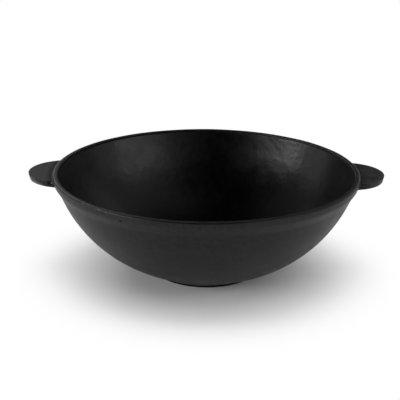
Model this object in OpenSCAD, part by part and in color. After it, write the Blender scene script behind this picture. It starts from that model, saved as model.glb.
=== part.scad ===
// Cast iron wok: one casting with a round bowl, a thick rim over a collar, a flat base pad and two solid ears.
// Millimetres. The origin is the centre of the base's underside, +Z is up, and the ears point along X.

/* [Bowl] */
// Outer diameter of the rim
rim_diameter = 320; // [280:1:400]
// Height from the underside of the base to the top of the rim
height = 110; // [95:1:130]
// Thickness of the wall, square to its surface
wall = 5; // [3.5:0.1:5.5]
// Lean of the upper wall outwards from upright, in degrees
upper_lean = 24; // [18:0.5:27]
// Rise of the lower wall above level, in degrees
lower_rise = 26.5; // [20:0.5:30]
// Radius of the outer curve between the lower and the upper wall
belly_radius = 142; // [90:1:150]

/* [Base] */
// Diameter of the flat pad that the wok stands on
pad_diameter = 111; // [80:1:130]
// Height of the pad's side
pad_height = 2; // [1:0.1:3]
// Rounding of the pad's bottom edge
pad_edge = 0.8; // [0.3:0.1:0.9]
// Thickness of the floor of the bowl above the pad's underside
floor_thickness = 6; // [5:0.1:8]
// Radius of the curve between the floor and the wall inside the bowl
floor_curve = 60; // [20:1:90]

/* [Rim and collar] */
// Width of the rim's top face, more where the wall under it is too thick for it
rim_width = 6; // [5:0.1:8]
// Rounding of the rim's outer top edge
rim_outer_edge = 1.8; // [0.4:0.1:2.5]
// Rounding of the rim's inner top edge
rim_inner_edge = 1; // [0.4:0.1:2]
// Height of the collar's outer face, from the rim down
collar_height = 7.5; // [6:0.5:12]
// Lean of the collar's outer face from upright, in degrees
collar_lean = 9; // [4:0.5:15]
// How far the collar's lower edge stands out from the wall
collar_step = 1.5; // [0.8:0.1:2.5]
// Lean of the collar's underside from upright, in degrees
collar_under_lean = 38; // [32:1:50]
// Rounding of the collar's lower edge, less where the underside is too short for it
collar_edge = 4; // [1:0.5:6]
// Radius of the hollow between the collar and the wall, less where the underside is too short for it
collar_hollow = 8; // [2:0.5:12]

/* [Ears] */
// Distance from the middle of the wok to the middle of each ear's curve
ear_centre = 147.5; // [142:0.5:152]
// Radius of each ear's curve, seen from above
ear_radius = 38.5; // [34:0.5:44]
// Thickness of the ears
ear_thickness = 7; // [5:0.1:8]
// Drop from the rim's top face to the top of the ears
ear_drop = 2.6; // [2.2:0.1:4]
// Slope of the ears' side face inwards towards the underside, in degrees
ear_draft = 14; // [3:0.5:16]
// Rounding of the ears' top edge
ear_top_edge = 1.2; // [0.5:0.1:2]
// Rounding of the ears' bottom edge
ear_bottom_edge = 1; // [0.5:0.1:1.5]
// Radius of the hollow where an ear's side meets the collar, seen from above
ear_root_curve = 5; // [3:0.5:8]

/* [Hidden] */

// Overlap that makes a rounding and its neighbours one piece
lap = 0.4;
// How far a rounding stands past its straight neighbours, so that they cross cleanly
seam = 0.002;
// The same at the ears' roots, where curve meets curve
root_seam = 0.02;
// Segments of the ears' curves and of half the bowl's
round_fn = 180;

rim_radius = rim_diameter / 2;
pad_radius = pad_diameter / 2;
ear_top = height - ear_drop;
ear_bottom = ear_top - ear_thickness;

// The collar's lower edge
collar_foot = [rim_radius - collar_height * tan(collar_lean), height - collar_height];

// The outer wall's two straight flanks: a point on each and its direction
upper_foot = collar_foot - [collar_step, 0];
upper_way = [sin(upper_lean), cos(upper_lean)];
lower_foot = [pad_radius, pad_height];
lower_way = [cos(lower_rise), sin(lower_rise)];

// Normals of the flanks, pointing into the iron
upper_in = [-cos(upper_lean), sin(upper_lean)];
lower_in = [-sin(lower_rise), cos(lower_rise)];

// A point on the inner side of the upper wall and one of the lower
upper_inner = upper_foot + upper_in * wall;
lower_inner = lower_foot + lower_in * wall;

// The rim's inner face, which stands upright for at least its rounding above the wall
lip_foot = height - rim_inner_edge - lap;
rim_inside = min(rim_radius - rim_width, upper_inner.x + (lip_foot - upper_inner.y) * tan(upper_lean));

// Where the collar's underside meets the wall
collar_root = meet(collar_foot, [sin(collar_under_lean), cos(collar_under_lean)], upper_foot, upper_way);

// Share of their radii that the collar's edge and hollow can have on the underside between them
edge_take = collar_edge * tan((collar_under_lean - collar_lean) / 2);
hollow_take = collar_hollow * tan((collar_under_lean - upper_lean) / 2);
collar_share = min(1, norm(collar_root - collar_foot) / (edge_take + hollow_take + lap));

// Radius of the middle of the upper wall's thickness at height z, where the ears are rooted
function wall_middle(z) = upper_foot.x + (z - upper_foot.y) * tan(upper_lean) - wall / cos(upper_lean) / 2;

function cross2(a, b) = a.x * b.y - a.y * b.x;

// Where a line through p along u meets a line through q along v
function meet(p, u, q, v) = p + u * cross2(q - p, v) / cross2(u, v);

function unit(v) = v / norm(v);

// The straight sides' shares of a rounded corner: c is [x, y, radius], a and b are its neighbours
function spot(c) = [c.x, c.y];
function half_angle(a, c, b) = acos(unit(spot(a) - spot(c)) * unit(spot(b) - spot(c))) / 2;
function cut_back(a, c, b) = c.z / tan(half_angle(a, c, b));
function towards(c, a, d) = spot(c) + unit(spot(a) - spot(c)) * d;

// The polygon's points at one corner: the corner itself, or the ends of its rounding
function ends(a, c, b) =
  c.z == 0
    ? [spot(c)]
    : [towards(c, a, cut_back(a, c, b)), towards(c, b, cut_back(a, c, b))];

// Above zero where the outline turns left at c, so that the corner points out of the iron
function turn(a, c, b) = cross2(spot(c) - spot(a), spot(b) - spot(c));

// The piece of a circle that fills a corner past the chord between its ends
module rounding(a, c, b) {
  half = half_angle(a, c, b);
  inward = unit(unit(spot(a) - spot(c)) + unit(spot(b) - spot(c)));
  centre = spot(c) + inward * c.z / sin(half);
  chord = spot(c) + inward * cut_back(a, c, b) * cos(half);
  span = 2 * c.z + 4 * lap;
  intersection() {
    translate(centre)
      circle(r = c.z + seam, $fn = 2 * round_fn);
    translate(chord)
      rotate(atan2(inward.y, inward.x))
        translate([lap - span, -span / 2])
          square(span);
  }
}

// A polygon drawn anticlockwise from [x, y, radius] corners, with true arcs at its corners
module rounded(corners) {
  n = len(corners);
  difference() {
    union() {
      polygon([for (i = [0:n - 1]) each ends(corners[(i + n - 1) % n], corners[i], corners[(i + 1) % n])]);
      for (i = [0:n - 1])
        if (corners[i].z > 0 && turn(corners[(i + n - 1) % n], corners[i], corners[(i + 1) % n]) > 0)
          rounding(corners[(i + n - 1) % n], corners[i], corners[(i + 1) % n]);
    }
    for (i = [0:n - 1])
      if (corners[i].z > 0 && turn(corners[(i + n - 1) % n], corners[i], corners[(i + 1) % n]) < 0)
        rounding(corners[(i + n - 1) % n], corners[i], corners[(i + 1) % n]);
  }
}

function corner(p, r = 0) = [p.x, p.y, r];

// Half section of the bowl, from the middle of the base out, up the outside, over the rim and down the inside
module bowl_section() {
  rounded([
    corner([0, 0]),
    corner([pad_radius, 0], pad_edge),
    corner(lower_foot),
    corner(meet(lower_foot, lower_way, upper_foot, upper_way), belly_radius),
    corner(collar_root, collar_hollow * collar_share),
    corner(collar_foot, collar_edge * collar_share),
    corner([rim_radius, height], rim_outer_edge),
    corner([rim_inside, height], rim_inner_edge),
    corner(meet([rim_inside, height], [0, 1], upper_inner, upper_way)),
    corner(meet(lower_inner, lower_way, upper_inner, upper_way), belly_radius - wall),
    corner(meet([0, floor_thickness], [1, 0], lower_inner, lower_way), floor_curve),
    corner([0, floor_thickness]),
  ]);
}

// Half section of an ear about the middle of its curve
module ear_section() {
  rounded([
    corner([0, ear_bottom]),
    corner([ear_radius - ear_thickness * tan(ear_draft), ear_bottom], ear_bottom_edge),
    corner([ear_radius, ear_top], ear_top_edge),
    corner([0, ear_top]),
  ]);
}

// What is cut away beside an ear's root: the ear's own side turned about the hollow's middle
module root_cutter() {
  reach = ear_root_curve + ear_radius + root_seam;
  rotate_extrude($fn = round_fn)
    difference() {
      translate([0, ear_bottom - lap])
        square([reach, ear_thickness + 2 * lap]);
      translate([reach, 0])
        mirror([1, 0])
          ear_section();
    }
}

// The web that fills the corner between one side of an ear and the collar
module ear_web() {
  collar_hold = collar_foot.x - root_seam;
  side_a = collar_hold + ear_root_curve;
  side_b = ear_radius + ear_root_curve;
  along = (ear_centre * ear_centre + side_a * side_a - side_b * side_b) / (2 * ear_centre);
  hollow = [along, sqrt(side_a * side_a - along * along)];
  difference() {
    translate([0, 0, ear_bottom])
      linear_extrude(ear_thickness)
        polygon([[0, 0], [ear_centre, 0], hollow]);
    translate(hollow)
      root_cutter();
  }
}

module ear() {
  difference() {
    union() {
      translate([ear_centre, 0])
        rotate_extrude($fn = round_fn)
          ear_section();
      ear_web();
      mirror([0, 1])
        ear_web();
    }
    translate([0, 0, ear_bottom - lap])
      cylinder(
        h = ear_thickness + 2 * lap,
        r1 = wall_middle(ear_bottom - lap),
        r2 = wall_middle(ear_top + lap),
        $fn = 2 * round_fn
      );
  }
}

module wok() {
  color("#2b2b2c")
    union() {
      rotate_extrude($fn = 2 * round_fn)
        bowl_section();
      ear();
      mirror([1, 0])
        ear();
    }
}

wok();
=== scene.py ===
import math

import bmesh
import bpy
from mathutils import Matrix, Vector, noise


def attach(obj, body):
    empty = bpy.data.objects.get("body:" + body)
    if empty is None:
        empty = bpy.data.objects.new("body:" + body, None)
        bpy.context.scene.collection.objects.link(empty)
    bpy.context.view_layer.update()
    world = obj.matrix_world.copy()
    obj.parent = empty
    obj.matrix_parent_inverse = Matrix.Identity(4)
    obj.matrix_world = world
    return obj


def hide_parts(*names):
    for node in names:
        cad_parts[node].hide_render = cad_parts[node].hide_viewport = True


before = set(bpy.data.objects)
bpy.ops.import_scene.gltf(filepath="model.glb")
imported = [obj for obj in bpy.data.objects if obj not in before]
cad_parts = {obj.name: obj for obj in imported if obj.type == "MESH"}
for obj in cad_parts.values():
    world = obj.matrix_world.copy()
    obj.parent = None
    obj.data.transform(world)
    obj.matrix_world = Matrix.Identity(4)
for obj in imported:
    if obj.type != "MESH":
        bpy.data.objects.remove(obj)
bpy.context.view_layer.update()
print("frame loaded")

scene = bpy.context.scene
scene.view_settings.view_transform = "Standard"


# camera: a long lens about a metre off, looking down into the bowl
cameraView = {
    "target": (-0.0064, 0.0, 0.0760),
    "distance": 1.10,
    "elevation": 19.39,
    "roll": 0.51,          # the right side of the picture is a little lower
    "lens": 93.85,
    "sensor": 36.0,
    "clip": (0.01, 50.0),
}


def makeCamera(view):
    cam = bpy.data.objects.new("camera", bpy.data.cameras.new("camera"))
    scene.collection.objects.link(cam)
    cam.data.lens = view["lens"]
    cam.data.sensor_width = view["sensor"]
    cam.data.clip_start, cam.data.clip_end = view["clip"]
    tilt = math.radians(view["elevation"])
    look = Vector((0.0, math.cos(tilt), -math.sin(tilt)))
    turn = Matrix.Rotation(math.radians(view["roll"]), 3, -look)
    right = turn @ Vector((1.0, 0.0, 0.0))
    aim = Matrix((right, right.cross(look), -look)).transposed().to_4x4()
    cam.matrix_world = Matrix.Translation(Vector(view["target"]) - look * view["distance"]) @ aim
    scene.camera = cam


makeCamera(cameraView)
print("camera set")


# shader graphs are written as expressions: a Value is one socket, and + - * add Math nodes
class Value:
    def __init__(self, graph, socket):
        self.graph = graph
        self.socket = socket

    def __add__(self, other):
        return self.graph.maths("ADD", self, other)

    def __sub__(self, other):
        return self.graph.maths("SUBTRACT", self, other)

    def __rsub__(self, other):
        return self.graph.maths("SUBTRACT", other, self)

    def __mul__(self, other):
        return self.graph.maths("MULTIPLY", self, other)

    __radd__ = __add__
    __rmul__ = __mul__


class Graph:
    def __init__(self, tree):
        self.tree = tree
        self.tree.nodes.clear()

    # one node: its type, its settings, the values or links of its sockets, and the output wanted
    def add(self, kind, settings=None, inputs=None, out=0):
        node = self.tree.nodes.new(kind)
        for name, value in (settings or {}).items():
            setattr(node, name, value)
        for name, value in (inputs or {}).items():
            if isinstance(value, Value):
                self.tree.links.new(value.socket, node.inputs[name])
            else:
                node.inputs[name].default_value = value
        return Value(self, node.outputs[out]) if len(node.outputs) else node

    def maths(self, operation, a, b=0.0):
        return self.add("ShaderNodeMath", {"operation": operation}, {0: a, 1: b})

    def vectorMaths(self, operation, a, b, out="Value"):
        return self.add("ShaderNodeVectorMath", {"operation": operation}, {0: a, 1: b}, out=out)

    def objectPlace(self):
        return self.add("ShaderNodeTexCoord", out="Object")

    def lightPath(self, name):
        return self.add("ShaderNodeLightPath", out=name)

    def parts(self, vector):
        first = self.add("ShaderNodeSeparateXYZ", None, {0: vector})
        return [Value(self, socket) for socket in first.socket.node.outputs]

    # level distance from an upright line through a place on the X axis
    def away(self, x, y, middle=0.0):
        off = x - middle
        return self.maths("SQRT", off * off + y * y)

    # a number that goes from start to end while x goes from low to high
    def smooth(self, x, low, high, start=0.0, end=1.0):
        return self.add("ShaderNodeMapRange", {"interpolation_type": "SMOOTHSTEP"},
                        {"Value": x, "From Min": low, "From Max": high, "To Min": start, "To Max": end})

    # 1 while x is below low, falling to 0 at high
    def within(self, x, low, high):
        return self.smooth(x, low, high, 1.0, 0.0)

    def noise(self, vector, size, detail=2.0, rough=0.5):
        return self.add("ShaderNodeTexNoise", {"normalize": True},
                        {"Vector": vector, "Scale": 1.0 / size, "Detail": detail, "Roughness": rough})

    # a colour between a and b, each a value or three numbers
    def blend(self, factor, a, b):
        a, b = (c if isinstance(c, Value) else (*c, 1.0) for c in (a, b))
        return self.add("ShaderNodeMix", {"data_type": "RGBA"}, {0: factor, 6: a, 7: b}, out=2)


# the wok's section, in metres and degrees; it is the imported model's, with softer curves at the collar
wokSection = {
    "rimRadius": 0.160,
    "height": 0.110,
    "wall": 0.005,
    "upperLean": 24.0,
    "lowerRise": 26.5,
    "bellyRadius": 0.142,
    "padRadius": 0.0555,
    "padHeight": 0.002,
    "padEdge": 0.0008,
    "floorThickness": 0.006,
    "floorCurve": 0.060,
    "rimWidth": 0.006,
    "rimOuterEdge": 0.0018,
    "rimInnerEdge": 0.001,
    "lipHollow": 0.0008,   # hollow between the rim's inner face and the wall
    "collarHeight": 0.0075,
    "collarLean": 9.0,
    "collarStep": 0.0015,
    "collarUnder": 32.0,   # lean of the collar's underside from upright
    "collarEdge": 0.008,
    "collarHollow": 0.016,
    "longStep": 0.0026,    # ring spacing on the plain walls
    "fineStep": 0.0004,    # ring spacing round the small edges
    "arcTurn": 0.26,       # largest turn from ring to ring on an arc, in radians
    "turns": 400,          # steps of the spin
    "sharpFrom": 40.0,     # edges that turn more than this stay sharp
}

# the ears, seen from above: a half disc, with a hollow curve on each side where it meets the collar
earShape = {
    "centre": 0.1475,
    "radius": 0.0385,
    "thickness": 0.007,
    "drop": 0.0026,
    "draft": 14.0,
    "topEdge": 0.0012,
    "bottomEdge": 0.001,
    "rootCurve": 0.005,
    "rootBite": 0.0001,    # how far the hollow curve's end runs into the collar
    "rootDepth": 0.55,     # how far the ear's back runs into the wall, as a share of its thickness
    "gridStep": 0.002,     # spacing of the cuts that let the top follow the casting's unevenness
    "edgeSteps": 4,
    "rootSteps": 10,
    "discSteps": 64,
    "backSteps": 24,
}

# how uneven the casting is: wavelengths and heights, in metres
unevenness = {
    "longWave": 0.055, "longHeight": 0.00028,
    "midWave": 0.017, "midHeight": 0.00007,
    "sink": 0.7,           # noise value that stays on the drawn surface
    "flatBelow": 0.0035,   # the ground base pad stays flat
    "seed": 7.0,
}
mergeDistance = 1e-6       # points closer than this become one


def slope(degrees):
    return math.tan(math.radians(degrees))


def pointing(angle):
    return Vector((math.cos(angle), math.sin(angle)))


# where a line through p along u meets a line through q along v
def meet(p, u, q, v):
    gap = q - p
    return p + u * ((gap.x * v.y - gap.y * v.x) / (u.x * v.y - u.y * v.x))


# the points of an outline: sharp corners, true arcs at the rounded ones, and even steps on the straights
def rounded(corners, s):
    points = []
    for i, (corner, radius) in enumerate(corners):
        if not radius:
            points.append(corner)
            continue
        toBack = (corners[i - 1][0] - corner).normalized()
        toNext = (corners[(i + 1) % len(corners)][0] - corner).normalized()
        half = toBack.angle(toNext) / 2
        cutBack = radius / math.tan(half)
        centre = corner + (toBack + toNext).normalized() * (radius / math.sin(half))
        first = corner + toBack * cutBack - centre
        sweep = first.angle_signed(corner + toNext * cutBack - centre)
        step = min(s["longStep"], max(s["fineStep"], radius * s["arcTurn"]))
        count = max(3, math.ceil(abs(sweep) * radius / step))
        for k in range(count + 1):
            points.append(centre + Matrix.Rotation(-sweep * k / count, 2) @ first)
    filled = [points[0]]
    for point in points[1:]:
        last = filled[-1]
        count = max(1, math.ceil((point - last).length / s["longStep"]))
        filled += [last.lerp(point, (k + 1) / count) for k in range(count)]
    return filled


def bowlOutline(s):
    upperWay = pointing(math.radians(90 - s["upperLean"]))
    lowerWay = pointing(math.radians(s["lowerRise"]))
    rimOutside = Vector((s["rimRadius"], s["height"]))
    rimInside = Vector((s["rimRadius"] - s["rimWidth"], s["height"]))
    collarFoot = rimOutside - Vector((slope(s["collarLean"]), 1.0)) * s["collarHeight"]
    upperFoot = collarFoot - Vector((s["collarStep"], 0.0))
    lowerFoot = Vector((s["padRadius"], s["padHeight"]))
    upperInner = upperFoot + Vector((-upperWay.y, upperWay.x)) * s["wall"]
    lowerInner = lowerFoot + Vector((-lowerWay.y, lowerWay.x)) * s["wall"]
    floorMiddle = Vector((0.0, s["floorThickness"]))
    under = pointing(math.radians(-90 - s["collarUnder"]))
    up = Vector((0.0, 1.0))
    level = Vector((1.0, 0.0))
    return rounded([
        (Vector((0.0, 0.0)), 0.0),
        (Vector((s["padRadius"], 0.0)), s["padEdge"]),
        (lowerFoot, 0.0),
        (meet(lowerFoot, lowerWay, upperFoot, upperWay), s["bellyRadius"]),
        (meet(collarFoot, under, upperFoot, upperWay), s["collarHollow"]),
        (collarFoot, s["collarEdge"]),
        (rimOutside, s["rimOuterEdge"]),
        (rimInside, s["rimInnerEdge"]),
        (meet(rimInside, up, upperInner, upperWay), s["lipHollow"]),
        (meet(lowerInner, lowerWay, upperInner, upperWay), s["bellyRadius"] - s["wall"]),
        (meet(floorMiddle, level, lowerInner, lowerWay), s["floorCurve"]),
        (floorMiddle, 0.0),
    ], s)


# a row of points turned once round the upright axis, with its seam and pole closed
def spinRow(points, steps):
    bm = bmesh.new()
    verts = [bm.verts.new((p[0], 0.0, p[1])) for p in points]
    edges = [bm.edges.new(pair) for pair in zip(verts, verts[1:])]
    bmesh.ops.spin(bm, geom=verts + edges, cent=(0, 0, 0), axis=(0, 0, 1), angle=2 * math.pi,
                   steps=steps, use_merge=True)
    bmesh.ops.remove_doubles(bm, verts=bm.verts, dist=mergeDistance)
    return bm


def spinBowl(s):
    bm = spinRow(bowlOutline(s), s["turns"])
    bmesh.ops.recalc_face_normals(bm, faces=bm.faces)
    return bm


# an ear's plan at one level: shrink is how far the draft has pulled its edge in there
def earOutline(e, holdRadius, backRadius, shrink):
    sideA = holdRadius + e["rootCurve"]
    sideB = e["radius"] + e["rootCurve"]
    along = (e["centre"] ** 2 + sideA ** 2 - sideB ** 2) / (2 * e["centre"])
    hollow = Vector((along, math.sqrt(sideA ** 2 - along ** 2)))
    earMiddle = Vector((e["centre"], 0.0))
    toEar = earMiddle - hollow
    earAngle = math.atan2(toEar.y, toEar.x)
    hubAngle = math.atan2(-hollow.y, -hollow.x)
    steps = e["rootSteps"]
    upper = [hollow + pointing(hubAngle + (earAngle - hubAngle) * k / steps) * (e["rootCurve"] + shrink)
             for k in range(steps + 1)]
    joinAngle = math.atan2(-toEar.y, -toEar.x)
    steps = e["discSteps"]
    disc = [earMiddle + pointing(joinAngle * (1 - 2 * k / steps)) * (e["radius"] - shrink)
            for k in range(1, steps)]
    lower = [Vector((p.x, -p.y)) for p in reversed(upper)]
    backAngle = math.atan2(upper[0].y, upper[0].x)
    steps = e["backSteps"]
    back = [pointing(-backAngle * (1 - 2 * k / steps)) * backRadius for k in range(steps + 1)]
    return upper + disc + lower + back


def buildEar(e, s):
    bm = bmesh.new()
    top = s["height"] - e["drop"]
    bottom = top - e["thickness"]
    hold = s["rimRadius"] - s["collarHeight"] * slope(s["collarLean"]) - e["rootBite"]
    lean = slope(s["upperLean"])
    wallTop = s["rimRadius"] + s["collarHeight"] * (lean - slope(s["collarLean"])) - s["collarStep"]
    backTop = wallTop - s["wall"] * e["rootDepth"] / math.cos(math.radians(s["upperLean"]))
    loops = []
    for z, shrink in ((top, 0.0), (bottom, e["thickness"] * slope(e["draft"]))):
        outline = earOutline(e, hold, backTop - (s["height"] - z) * lean, shrink)
        verts = [bm.verts.new((p.x, p.y, z)) for p in outline]
        loops.append([bm.edges.new((a, b)) for a, b in zip(verts, verts[1:] + verts[:1])])
    bmesh.ops.bridge_loops(bm, edges=loops[0] + loops[1])
    for loop in loops:
        bmesh.ops.edgeloop_fill(bm, edges=loop)
    bmesh.ops.recalc_face_normals(bm, faces=bm.faces)
    for loop, size in ((loops[0], e["topEdge"]), (loops[1], e["bottomEdge"])):
        bmesh.ops.bevel(bm, geom=[x for x in loop if x.is_valid], offset=size, offset_type="WIDTH",
                        affect="EDGES", segments=e["edgeSteps"], profile=0.5, material=-1)
    step = e["gridStep"]
    outer = math.ceil((e["centre"] + e["radius"]) / step)
    wide = math.ceil(e["radius"] / step)
    cuts = [((x * step, 0, 0), (1, 0, 0)) for x in range(math.ceil(hold / step), outer)]
    cuts += [((0, y * step, 0), (0, 1, 0)) for y in range(-wide, wide + 1)]
    for place, way in cuts:
        bmesh.ops.bisect_plane(bm, geom=bm.verts[:] + bm.edges[:] + bm.faces[:], dist=mergeDistance,
                               plane_co=place, plane_no=way)
    return bm


def newPiece(name, bm):
    mesh = bpy.data.meshes.new(name)
    bm.to_mesh(mesh)
    bm.free()
    piece = bpy.data.objects.new(name, mesh)
    scene.collection.objects.link(piece)
    return piece


def joinPieces(base, others):
    for other in others:
        join = base.modifiers.new("join", "BOOLEAN")
        join.operation = "UNION"
        join.solver = "EXACT"
        join.object = other
        evaluated = base.evaluated_get(bpy.context.evaluated_depsgraph_get())
        joined = bpy.data.meshes.new_from_object(evaluated)
        base.modifiers.clear()
        base.data = joined
        bpy.data.objects.remove(other)


# always a little below the drawn surface, so that the casting stays inside its box
def unevenHeight(place, u):
    at = Vector(place) + Vector((u["seed"], 0, 0))
    return ((noise.noise(at / u["longWave"]) - u["sink"]) * u["longHeight"]
            + (noise.noise(at / u["midWave"]) - u["sink"]) * u["midHeight"])


def roughenCasting(piece, u):
    bm = bmesh.new()
    bm.from_mesh(piece.data)
    bm.normal_update()
    for v in bm.verts:
        fade = min(1.0, max(0.0, (v.co.z - u["flatBelow"]) / u["flatBelow"]))
        v.co += v.normal * unevenHeight(v.co, u) * fade
    bm.to_mesh(piece.data)
    bm.free()


wok = newPiece("wokCasting", spinBowl(wokSection))
print("bowl spun", len(wok.data.polygons), "faces")
rightEar = newPiece("rightEar", buildEar(earShape, wokSection))
leftMesh = bmesh.new()
leftMesh.from_mesh(rightEar.data)
bmesh.ops.rotate(leftMesh, verts=leftMesh.verts, cent=(0, 0, 0), matrix=Matrix.Rotation(math.pi, 3, "Z"))
leftEar = newPiece("leftEar", leftMesh)
joinPieces(wok, [rightEar, leftEar])
roughenCasting(wok, unevenness)
wok.data.polygons.foreach_set("use_smooth", [True] * len(wok.data.polygons))
wok.data.set_sharp_from_angle(angle=math.radians(wokSection["sharpFrom"]))
print("ears joined", len(wok.data.polygons), "faces")


# what every finish of the iron shares: the sizes of its broad patterns, and their shares of the tone
ironPattern = {
    "mottle": 0.018, "mottleShare": 0.35,
    "patch": 0.06, "patchShare": 0.25,
    "waveShare": 0.40,
    "toneLimits": (0.40, 0.60),
}

# outside the iron is black, with a dry sand texture
ironOutside = {
    "dark": (0.0005, 0.0005, 0.0005),
    "light": (0.0055, 0.0055, 0.0055),
    "roughness": 0.46,
    "roughnessSpread": 0.10,
    "specular": 0.185,
    "grain": 0.0011,
    "grainDepth": 0.00008,
    "wave": 0.0045,        # soft unevenness that the sand leaves
    "waveDepth": 0.00014,
    "pitCell": 0.008,      # small pits: the spacing of their pattern, their radius and depth
    "pitRadius": 0.0006,
    "pitDepth": 0.00012,
}

# places outside with a look of their own: a pair gives the limits between which it sets in or ends
# the collar band is painted lighter: a painted sheen for the floor's reflection in its face, broken up by
# the mottle
paintedCollarSheen = {
    "light": (0.012, 0.012, 0.012),
    "heights": (0.1005, 0.1030),
    "radii": (0.1600, 0.1606),
    "evenShare": 0.4,      # share of its lightness that is the same all round
}
earLook = {
    "streak": 0.006,       # width of the streaks, which run along X
    "streakSquash": 0.3,
    "streakLimits": (0.47, 0.62),
    "streakLight": (0.012, 0.012, 0.012),
    "rightFrom": (0.160, 0.164),
    "leftFrom": (-0.164, -0.160),
    "leftShare": 0.30,     # the left ear's streaks are fainter
    # the right ear's outer edge painted lighter: a painted highlight
    "tipHighlightColour": (0.018, 0.018, 0.018),
    "tipShare": 0.7,
    "tipFrom": (0.0320, 0.0360),       # from the middle of the ear's curve
    "tipPast": (0.164, 0.170),
    "rough": 0.10,         # how much rougher the right ear's top is
    "roughFrom": (0.160, 0.166),
    "rootRough": 0.20,     # and both ears close to the rim
    "rootFrom": (0.1600, 0.1606),
    "rootTo": (0.1620, 0.1680),
}

# inside the bowl it is smoother and shinier
ironInside = {
    "dark": (0.0, 0.0, 0.0),
    "light": (0.0008, 0.0008, 0.0008),
    "roughness": 0.34,
    "roughnessSpread": 0.11,
    "specular": 0.21,
    "grain": 0.0009,
    "grainDepth": 0.00001,
    "wave": 0.009,
    "waveDepth": 0.00035,
}

# the rim is rubbed smooth by lids and tools
ironRim = {
    "dark": (0.0004, 0.0004, 0.0004),
    "light": (0.003, 0.003, 0.003),
    "roughness": 0.42,
    "roughnessSpread": 0.06,
    "specular": 0.26,
    "grain": 0.0009,
    "grainDepth": 0.00002,
    "wave": 0.005,
    "waveDepth": 0.00002,
}

# the base is matt and sooty, with the turned rings of its grinding underneath
ironBase = {
    "dark": (0.0002, 0.0002, 0.0002),
    "light": (0.0012, 0.0012, 0.0012),
    "roughness": 0.75,
    "roughnessSpread": 0.05,
    "specular": 0.06,
    "grain": 0.0009,
    "grainDepth": 0.00003,
    "wave": 0.006,
    "waveDepth": 0.00002,
    "ring": 0.0016,
    "ringLight": (0.032, 0.032, 0.032),
    "ringDepth": 0.00004,
    "ringLimits": (0.35, 0.65),
    "ringFaint": 0.3,      # lightness between the rings
    "ringsEnd": (0.0525, 0.0545),
}

# single marks on the casting: place, radius and kind. A dent is a small dip painted black: a real pit on
# the collar and the flank, and painted shade in the hollow at the left ear's root. A bright mark is
# painted lighter: wear and a painted highlight on the rim's left front edge, and a painted reflection on
# the left ear's side
marks = [
    ((-0.1601, -0.0360, 0.1048), 0.0026, "dentAndShade"),      # at the left ear's root: painted shade in the hollow there, over a small dip
    ((-0.1549, -0.0370, 0.1026), 0.0012, "dentAndShade"),
    ((-0.0797, -0.1373, 0.1028), 0.0015, "dentAndShade"),      # on the collar
    ((-0.0519, -0.1403, 0.0852), 0.0011, "dentAndShade"),      # on the flank
    ((-0.1568, -0.0370, 0.1060), 0.0016, "wearAndHighlight"),      # along the rim's left front edge: wear, painted lighter as a highlight too
    ((-0.1176, -0.1075, 0.1090), 0.0011, "wearAndHighlight"),
    ((-0.1010, -0.1233, 0.1088), 0.0010, "wearAndHighlight"),
    ((-0.0940, -0.1289, 0.1083), 0.0008, "wearAndHighlight"),
    ((-0.0689, -0.1438, 0.1091), 0.0007, "wearAndHighlight"),
    ((-0.1815, -0.0165, 0.1000), 0.0068, "wearAndHighlight"),      # the left ear's side near its end: a painted reflection
    ((-0.1765, -0.0240, 0.1000), 0.0068, "wearAndHighlight"),
    ((-0.1705, -0.0295, 0.1000), 0.0060, "wearAndHighlight"),
]
markLook = {"wearAndHighlightColour": (0.06, 0.06, 0.06), "dentDepth": 0.0004, "dentRoughness": 0.5}
black = (0.0, 0.0, 0.0)


# dark round spots where the surface cuts through a pattern of small balls
def pits(g, place, f):
    far = g.add("ShaderNodeTexVoronoi", {"feature": "F1"}, {"Vector": place, "Scale": 1.0 / f["pitCell"]})
    return g.within(far * f["pitCell"], f["pitRadius"] * 0.5, f["pitRadius"])


# lengthwise streaks on the ears, stronger on the right one
def streaks(g, x, y, z, e):
    stretched = g.add("ShaderNodeCombineXYZ", None, {0: x * e["streakSquash"], 1: y, 2: z})
    side = g.smooth(x, *e["rightFrom"]) + g.smooth(x, *e["leftFrom"], e["leftShare"], 0.0)
    return g.smooth(g.noise(stretched, e["streak"], rough=0.6), *e["streakLimits"]) * side


# the collar's painted sheen, the ears' streaks, the right ear's outer edge painted lighter as a highlight,
# the ears' roots, and the small pits
def finishOutside(g, place, f, tone, colour, roughness, height):
    x, y, z = g.parts(place)
    away = g.away(x, y)
    c, e = paintedCollarSheen, earLook
    collar = g.smooth(z, *c["heights"]) * g.within(away, *c["radii"])
    # painted sheen on the collar band
    colour = g.blend(collar * (tone * (1 - c["evenShare"]) + c["evenShare"]), colour, c["light"])
    colour = g.blend(streaks(g, x, y, z, e), colour, e["streakLight"])
    # painted highlight along the right ear's outer edge
    tipHighlight = g.smooth(g.away(x, y, earShape["centre"]), *e["tipFrom"]) * g.smooth(x, *e["tipPast"])
    colour = g.blend(tipHighlight * e["tipShare"], colour, e["tipHighlightColour"])
    root = g.smooth(away, *e["rootFrom"]) * g.within(away, *e["rootTo"])
    roughness = roughness + g.smooth(x, *e["roughFrom"]) * e["rough"] + root * e["rootRough"]
    pit = pits(g, place, f)
    return g.blend(pit, colour, black), roughness, height - pit * f["pitDepth"]


# the rings that the grinding left under the base
def finishBase(g, place, f, colour, height):
    x, y = g.parts(place)[:2]
    away = g.away(x, y)
    rings = g.noise(g.add("ShaderNodeCombineXYZ", None, {0: away}), f["ring"], rough=0.6)
    ground = g.within(away, *f["ringsEnd"])
    shine = ground * g.smooth(rings, *f["ringLimits"], f["ringFaint"], 1.0)
    return g.blend(shine, colour, f["ringLight"]), height + rings * ground * f["ringDepth"]


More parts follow.
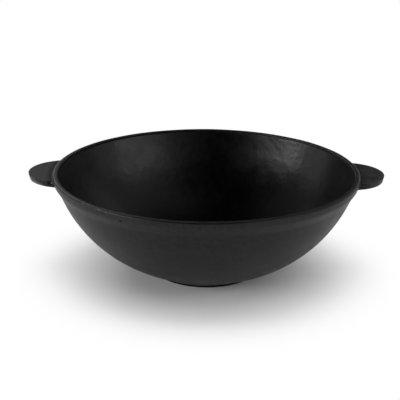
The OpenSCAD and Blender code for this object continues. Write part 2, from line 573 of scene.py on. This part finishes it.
def ironMaterial(name, f):
    mat = bpy.data.materials.new(name)
    mat.use_nodes = True
    g = Graph(mat.node_tree)
    p = ironPattern
    place = g.objectPlace()
    mottle = g.noise(place, p["mottle"], detail=4.0, rough=0.6)
    patches = g.noise(place, p["patch"])
    grain = g.noise(place, f["grain"], rough=0.6)
    wave = g.noise(place, f["wave"])
    tone = g.smooth(mottle * p["mottleShare"] + patches * p["patchShare"] + wave * p["waveShare"],
                    *p["toneLimits"])
    colour = g.blend(tone, f["dark"], f["light"])
    roughness = f["roughness"] + (mottle - 0.5) * f["roughnessSpread"] * 2
    height = grain * f["grainDepth"] + wave * f["waveDepth"]
    if "pitCell" in f:
        colour, roughness, height = finishOutside(g, place, f, tone, colour, roughness, height)
    if "ring" in f:
        colour, height = finishBase(g, place, f, colour, height)
    # dents are painted black and bright marks painted light: real pits and wear, with painted shade,
    # highlights and reflections
    for spot, radius, kind in marks:
        off = g.vectorMaths("DISTANCE", place, spot)
        mask = g.within(off + (wave - 0.5) * radius, radius * 0.5, radius)
        colour = g.blend(mask, colour, markLook["wearAndHighlightColour"] if kind == "wearAndHighlight" else black)
        if kind == "dentAndShade":
            height = height - mask * markLook["dentDepth"]
            roughness = roughness + mask * markLook["dentRoughness"]
    normal = g.add("ShaderNodeBump", None, {"Height": height, "Distance": 1.0, "Strength": 1.0})
    shader = g.add("ShaderNodeBsdfPrincipled", None, {
        "Base Color": colour, "Roughness": roughness, "Normal": normal,
        "Specular IOR Level": f["specular"]})
    g.add("ShaderNodeOutputMaterial", None, {"Surface": shader})
    return mat


# how the faces are shared out between the finishes
finishSplit = {
    "lap": 0.0002,         # how far the rim's finish reaches past its inner edge
    "level": 0.9,          # faces that look up more than this are the bowl's floor
    "insideFrom": 0.005,   # height above which a face can be inside the bowl
}


# which finish a face gets, by its place and by where it looks
def finishOf(face, s, split):
    middle = Vector(face.center)
    flat = Vector((middle.x, middle.y, 0.0))
    innerLimit = s["rimRadius"] - s["rimWidth"]
    towardsAxis = face.normal.dot(flat) <= 0.0
    if middle.z < s["padHeight"]:
        return "ironBase"
    if flat.length > innerLimit - split["lap"] and middle.z > s["height"] - s["rimOuterEdge"]:
        return "ironRim"
    if (flat.length < innerLimit + split["lap"] and middle.z > split["insideFrom"]
            and (towardsAxis or face.normal.z > split["level"])):
        return "ironInside"
    return "ironOutside"


finishes = {"ironOutside": ironOutside, "ironInside": ironInside, "ironRim": ironRim, "ironBase": ironBase}
wok.data.materials.clear()
for name, look in finishes.items():
    wok.data.materials.append(ironMaterial(name, look))
for face in wok.data.polygons:
    face.material_index = list(finishes).index(finishOf(face, wokSection, finishSplit))
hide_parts("wok")
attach(wok, "root")
wok.data.calc_loop_triangles()
print("iron finished", len(wok.data.loop_triangles), "triangles")


# studio: a pale table in a dark room with soft patches of light round it
studio = {
    "floorRadius": 8.0,
    "floorHole": 0.053,
    "floorColour": 0.88,
    "floorSteps": 96,
    "shadowStart": 0.070,  # the table's plain white begins here, so that the wok keeps its shadow
    "shadowEnd": 0.215,
    "lowBand": 0.05,       # height of the pale band where the table meets the room
}

# a large soft lamp above, which lights the table and doesn't show in the iron's gloss
topLamp = {"height": 2.0, "size": 1.2, "watts": 26.0}

# the patches: azimuth from the camera's side towards +X, elevation, tightness, strength
softLights = [
    (-75.0, 13.5, 110.0, 27.5),
    (-53.0, 13.5, 110.0, 13.5),
    (-108.0, 16.0, 110.0, 2.84),
    (-129.0, 25.0, 31.0, 0.30),
    (-108.0, 45.0, 31.0, 0.38),
    (26.0, 25.0, 31.0, 0.72),
    (43.0, 37.0, 110.0, 1.37),
    (54.0, 26.0, 110.0, 5.7),
    (76.0, 26.0, 110.0, 5.8),
    (72.0, 45.0, 31.0, 0.68),
    (72.0, 70.0, 31.0, 0.34),
    (98.0, 16.0, 110.0, 1.8),
    (108.0, 45.0, 31.0, 0.52),
    (129.0, 25.0, 31.0, 0.85),
    (156.0, 18.0, 100.0, 2.0),
    (192.0, 7.0, 100.0, 0.40),
    (204.0, 30.0, 100.0, 7.6),
]
white = (1, 1, 1, 1)


# white table for the camera and for reflections, with the wok's shadow on the plain table near it
def tableMaterial(s):
    mat = bpy.data.materials.new("paleTable")
    mat.use_nodes = True
    g = Graph(mat.node_tree)
    x, y = g.parts(g.objectPlace())[:2]
    seen = g.maths("MAXIMUM", g.lightPath("Is Camera Ray"),
                   g.maths("MAXIMUM", g.lightPath("Is Glossy Ray"), g.lightPath("Is Transmission Ray")))
    share = seen * g.smooth(g.away(x, y), s["shadowStart"], s["shadowEnd"])
    lit = g.add("ShaderNodeBsdfDiffuse", None, {"Color": (s["floorColour"],) * 3 + (1.0,)})
    glow = g.add("ShaderNodeEmission", None, {"Color": white, "Strength": 1.0})
    surface = g.add("ShaderNodeMixShader", None, {0: share, 1: lit, 2: glow})
    under = g.add("ShaderNodeNewGeometry", out="Backfacing")    # clear from below
    clear = g.add("ShaderNodeBsdfTransparent")
    g.add("ShaderNodeOutputMaterial", None,
          {"Surface": g.add("ShaderNodeMixShader", None, {0: under, 1: surface, 2: clear})})
    return mat


# the table has a round hole hidden under the base, so that a look from below finds the base lit
def makeFloor(s):
    bm = spinRow([(s["floorHole"], 0.0), (s["floorRadius"], 0.0)], s["floorSteps"])
    bm.normal_update()
    bmesh.ops.reverse_faces(bm, faces=[face for face in bm.faces if face.normal.z < 0])
    floor = newPiece("floor", bm)
    floor.data.materials.append(tableMaterial(s))


def makeLamp(p):
    lamp = bpy.data.lights.new("topLamp", "AREA")
    lamp.shape = "SQUARE"
    lamp.size = p["size"]
    lamp.energy = p["watts"]
    panel = bpy.data.objects.new("topLamp", lamp)
    panel.location = (0.0, 0.0, p["height"])
    panel.visible_camera = False
    panel.visible_glossy = False
    scene.collection.objects.link(panel)


# a soft round patch of light on the walls of the room
def softPatch(g, towards, azimuth, elevation, tightness, strength):
    a, e = math.radians(azimuth), math.radians(elevation)
    way = (math.sin(a) * math.cos(e), -math.cos(a) * math.cos(e), math.sin(e))
    facing = g.vectorMaths("DOT_PRODUCT", towards, way)
    return g.maths("EXPONENT", (facing - 1.0) * tightness) * strength


def makeWorld(s, lights):
    world = bpy.data.worlds.new("room")
    scene.world = world
    world.use_nodes = True
    g = Graph(world.node_tree)
    towards = g.vectorMaths("NORMALIZE", g.add("ShaderNodeTexCoord", out="Generated"), (0, 0, 0), "Vector")
    height = g.parts(towards)[2]
    camera = g.lightPath("Is Camera Ray")
    plain = g.maths("MAXIMUM", camera, g.within(height, 0.0, s["lowBand"]))
    glow = sum(softPatch(g, towards, *light) for light in lights)
    g.add("ShaderNodeOutputWorld", None, {"Surface": g.add(
        "ShaderNodeBackground", None, {"Color": white, "Strength": glow * (1.0 - camera) + plain})})


makeFloor(studio)
makeLamp(topLamp)
makeWorld(studio, softLights)
print("studio lit")
